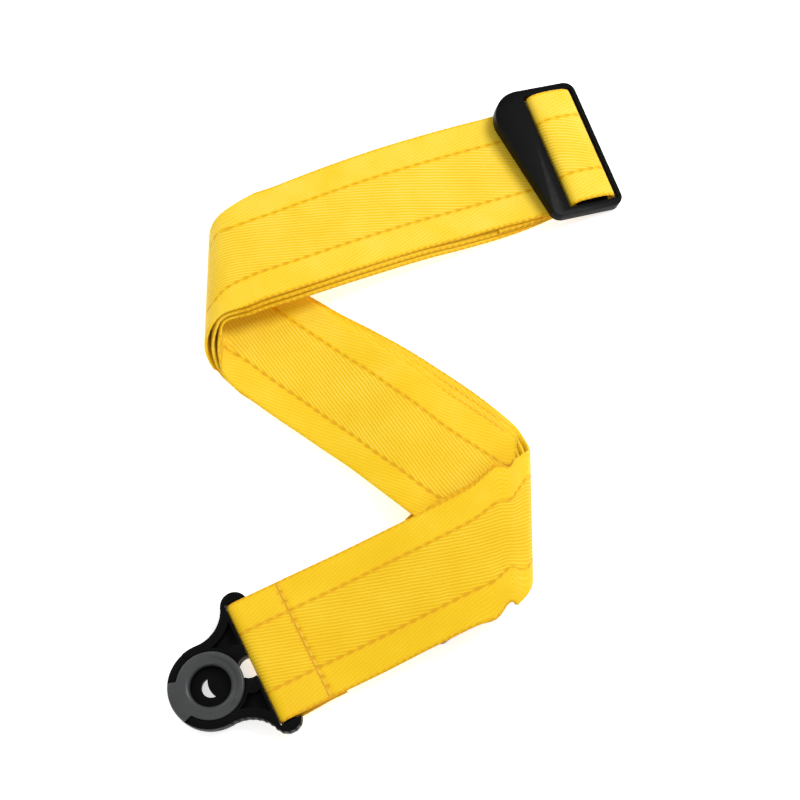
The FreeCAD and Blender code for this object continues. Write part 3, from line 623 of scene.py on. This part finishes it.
# Small rounded bumps set out by geometry nodes: stitches and grip ribs.
def repeated(name, places, turns, size, material):
    mesh = bpy.data.meshes.new(name)
    mesh.from_pydata(places, [], [])
    turning = mesh.attributes.new("turning", "FLOAT_VECTOR", "POINT")
    for number, angles in enumerate(turns):
        turning.data[number].vector = angles
    piece = newPiece(name, mesh)
    tree = bpy.data.node_groups.new(name, "GeometryNodeTree")
    tree.interface.new_socket("Geometry", in_out="INPUT", socket_type="NodeSocketGeometry")
    sizing = tree.interface.new_socket("Size", in_out="INPUT", socket_type="NodeSocketVector")
    tree.interface.new_socket("Geometry", in_out="OUTPUT", socket_type="NodeSocketGeometry")
    made = {}
    for key, kind in (("in", "NodeGroupInput"), ("out", "NodeGroupOutput"),
                      ("ball", "GeometryNodeMeshUVSphere"), ("place", "GeometryNodeInstanceOnPoints"),
                      ("turn", "GeometryNodeInputNamedAttribute"),
                      ("real", "GeometryNodeRealizeInstances"), ("paint", "GeometryNodeSetMaterial")):
        made[key] = tree.nodes.new(kind)
    made["ball"].inputs["Segments"].default_value = 12
    made["ball"].inputs["Rings"].default_value = 7
    made["turn"].data_type = "FLOAT_VECTOR"
    made["turn"].inputs["Name"].default_value = "turning"
    made["paint"].inputs["Material"].default_value = material
    join = tree.links.new
    join(made["in"].outputs["Geometry"], made["place"].inputs["Points"])
    join(made["in"].outputs["Size"], made["place"].inputs["Scale"])
    join(made["ball"].outputs["Mesh"], made["place"].inputs["Instance"])
    join(made["turn"].outputs["Attribute"], made["place"].inputs["Rotation"])
    join(made["place"].outputs["Instances"], made["real"].inputs["Geometry"])
    join(made["real"].outputs["Geometry"], made["paint"].inputs["Geometry"])
    join(made["paint"].outputs["Geometry"], made["out"].inputs["Geometry"])
    modifier = piece.modifiers.new("repeat", "NODES")
    modifier.node_group = tree
    modifier[sizing.identifier] = [part * mm for part in size]
    result = bpy.data.meshes.new_from_object(piece.evaluated_get(bpy.context.evaluated_depsgraph_get()))
    piece.modifiers.clear()
    piece.data = result
    result.shade_smooth()
    return piece


def turned(matrix):
    return tuple(matrix.to_euler())


def axesMatrix(x, y, z):
    return Matrix((x, y, z)).transposed()


# Stitch rows, one stitch at each point.
def stitchRow(name, section, rise, size, node, body):
    centre, across, half, normal = section[:4]
    along = across.cross(normal).normalized()
    angles = turned(axesMatrix(across, along, across.cross(along)))
    count = web["stitches"]
    places = []
    for number in range(count):
        sideways = across * ((number - (count - 1) / 2) * weave["stitchPitch"])
        places.append((centre + shift + sideways + normal * rise) * mm)
    row = repeated(name, places, [angles] * count, size, thread)
    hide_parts(node)
    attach(row, body)


def atAlong(sections, want):
    run = 0.0
    for a, b in zip(sections, sections[1:]):
        gap = (b[0] - a[0]).length
        if run + gap >= want:
            share = (want - run) / gap
            return (a[0].lerp(b[0], share),) + tuple(a[1:])
        run += gap
    return sections[-1]


stitchRow("frontStitches", atAlong(route, stitchAlong), -web["thick"] / 2 - 0.05, (1.75, 0.62, 0.42),
          "front_stitching", "strap")
stitchRow("adjusterStitches", route[-1 - fineSteps], web["thick"] / 2 + 0.3, (1.5, 0.3, 0.25),
          "adjuster_stitching", "adjuster")

# Lock ends: the outline's hollow flanks carry vertical grip ribs.
lock = {
    "nose": 16.5, "flank": 14.0, "tip": 5.5, "tipReach": 21.0, "tipSpan": 23.8, 
    "ringOuter": 13.1, "ringHole": 8.0, "ringTab": 16.3, "tabAngle": 65.0, "ringTop": 8.6, "ringLow": 5.5,
    "ribPitch": 2.4, "jawGrow": 0.13,
}


def flankCentre():
    apart = math.hypot(lock["tipReach"], lock["tipSpan"])
    toNose, toTip = lock["nose"] + lock["flank"], lock["tip"] + lock["flank"]
    along = (toNose ** 2 - toTip ** 2 + apart ** 2) / (2 * apart)
    side = math.sqrt(toNose ** 2 - along ** 2)
    ux, uy = lock["tipReach"] / apart, lock["tipSpan"] / apart
    return along * ux - side * uy, along * uy + side * ux


def outlineSpots(pitch):
    # Points along the flank from the nose to the wing tip, with the outward direction at each.
    cx, cy = flankCentre()
    toNose = math.atan2(-cy, -cx)
    toTip = math.atan2(lock["tipSpan"] - cy, lock["tipReach"] - cx)
    spots = []
    count = int(abs(toTip - toNose) * lock["flank"] / pitch)
    for number in range(count + 1):
        angle = toNose + (toTip - toNose) * number / count
        way = (math.cos(angle), math.sin(angle))
        spots.append(((cx + way[0] * lock["flank"], cy + way[1] * lock["flank"]), (-way[0], -way[1])))
    count = int(1.9 * lock["tip"] / pitch)
    for number in range(1, count + 1):
        angle = toTip + math.pi - 1.9 * number / count
        way = (math.cos(angle), math.sin(angle))
        spot = (lock["tipReach"] + way[0] * lock["tip"], lock["tipSpan"] + way[1] * lock["tip"])
        spots.append((spot, way))
    return spots


def gripRibs(name, place, body):
    turn = place.to_3x3()
    places, angles = [], []
    for (x, y), (ox, oy) in outlineSpots(lock["ribPitch"]):
        for side in (1, -1):
            spot = Vector((x, y * side, 4.1))
            out = Vector((-ox, -oy * side, 0)).normalized()
            places.append((place @ spot) * mm)
            angles.append(turned(turn @ axesMatrix(out, Vector((0, 0, 1)).cross(out), Vector((0, 0, 1)))))
    piece = repeated(name, places, angles, (0.42, 0.75, 2.5), black)
    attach(piece, body)


gripRibs("frontGripRibs", frontPlace, "front_lock")
gripRibs("rearGripRibs", rearPlace, "strap")


def ease(x):
    x = min(1.0, max(0.0, x))
    return x * x * (3 - 2 * x)


def releaseRing(name, place, body, node):
    # A turned ring with a thumb tab over the nose and a raised lip on the strap side.
    turns = 144
    top, low, hole = lock["ringTop"] - 0.8, lock["ringLow"], lock["ringHole"]
    points, faces = [], []
    for number in range(turns):
        angle = 2 * math.pi * number / turns
        fromNose = abs(math.degrees(angle) - 180)
        fromStrap = 180 - fromNose
        tab = ease((lock["tabAngle"] / 2 + 0.6 - fromNose) / 4.0)
        lip = ease((70 - fromStrap) / 16.0)
        outer = lock["ringOuter"] + (lock["ringTab"] - lock["ringOuter"]) * tab
        floor = low + (1.15 * tab)
        inside = [(hole, low), (hole, top - 1.1), (hole + 0.35, top - 0.5), (hole + 1.0, top - 0.12),
                  (hole + 1.5, top)]
        middle = [(10.2, top), (10.7, top + 0.35 * lip), (11.1, top + 0.72 * lip), (11.6, top + 0.8 * lip),
                  (12.3, top + 0.8 * lip)]
        rim = [(outer - 0.45, top + 0.74 * lip - 0.02), (outer - 0.14, top + 0.6 * lip - 0.14),
               (outer, top + 0.35 * lip - 0.45), (outer, floor + 0.1), (outer - 0.1, floor)]
        under = [(min(outer - 0.4, 12.9), low if tab < 0.01 else floor), (12.6, low)]
        ring = inside + middle + rim + under
        for radius, z in ring:
            spot = place @ Vector((radius * math.cos(angle), radius * math.sin(angle), z))
            points.append(spot * mm)
    count = len(ring)
    for number in range(turns):
        for k in range(count):
            a, b = number * count + k, number * count + (k + 1) % count
            c, d = ((number + 1) % turns) * count + (k + 1) % count, ((number + 1) % turns) * count + k
            faces.append((a, b, c, d))
    mesh = bpy.data.meshes.new(name)
    mesh.from_pydata(points, [], faces)
    mesh.materials.append(grey)
    work = bmesh.new()
    work.from_mesh(mesh)
    bmesh.ops.recalc_face_normals(work, faces=work.faces)
    work.to_mesh(mesh)
    work.free()
    mesh.shade_smooth()
    mesh.set_sharp_from_angle(angle=math.radians(42))
    piece = newPiece(name, mesh)
    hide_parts(node)
    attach(piece, body)


releaseRing("frontRing", frontPlace, "front_ring", "front_release_ring")
releaseRing("rearRing", rearPlace, "rear_ring", "rear_release_ring")
print("lock ends made")

for node, thing in frame["nodes"].items():
    slot = next(part["material_slot"] for part in frame["record"]["subparts"] if part["node"] == node)
    finish = {"web": webCloth, "thread": thread, "black": black, "ring": grey, "steel": steel}[slot]
    thing.data.materials.clear()
    thing.data.materials.append(finish)
for end, body in (("front", "front_lock"), ("rear", "strap")):
    piece = softened(end + "Housing", end + "_lock_housing", black, 0.35)
    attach(piece, body)
    for jaw in ("nose", "strap"):
        node = "%s_%s_jaw" % (end, jaw)
        piece = grown(end + jaw.capitalize() + "Jaw", node, lock["jawGrow"])
        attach(piece, "%s_jaw_%s" % (end, jaw))
piece = softened("adjusterFrame", "adjuster_frame", black, 0.7, 3)
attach(piece, "adjuster")
print("moulded parts made")
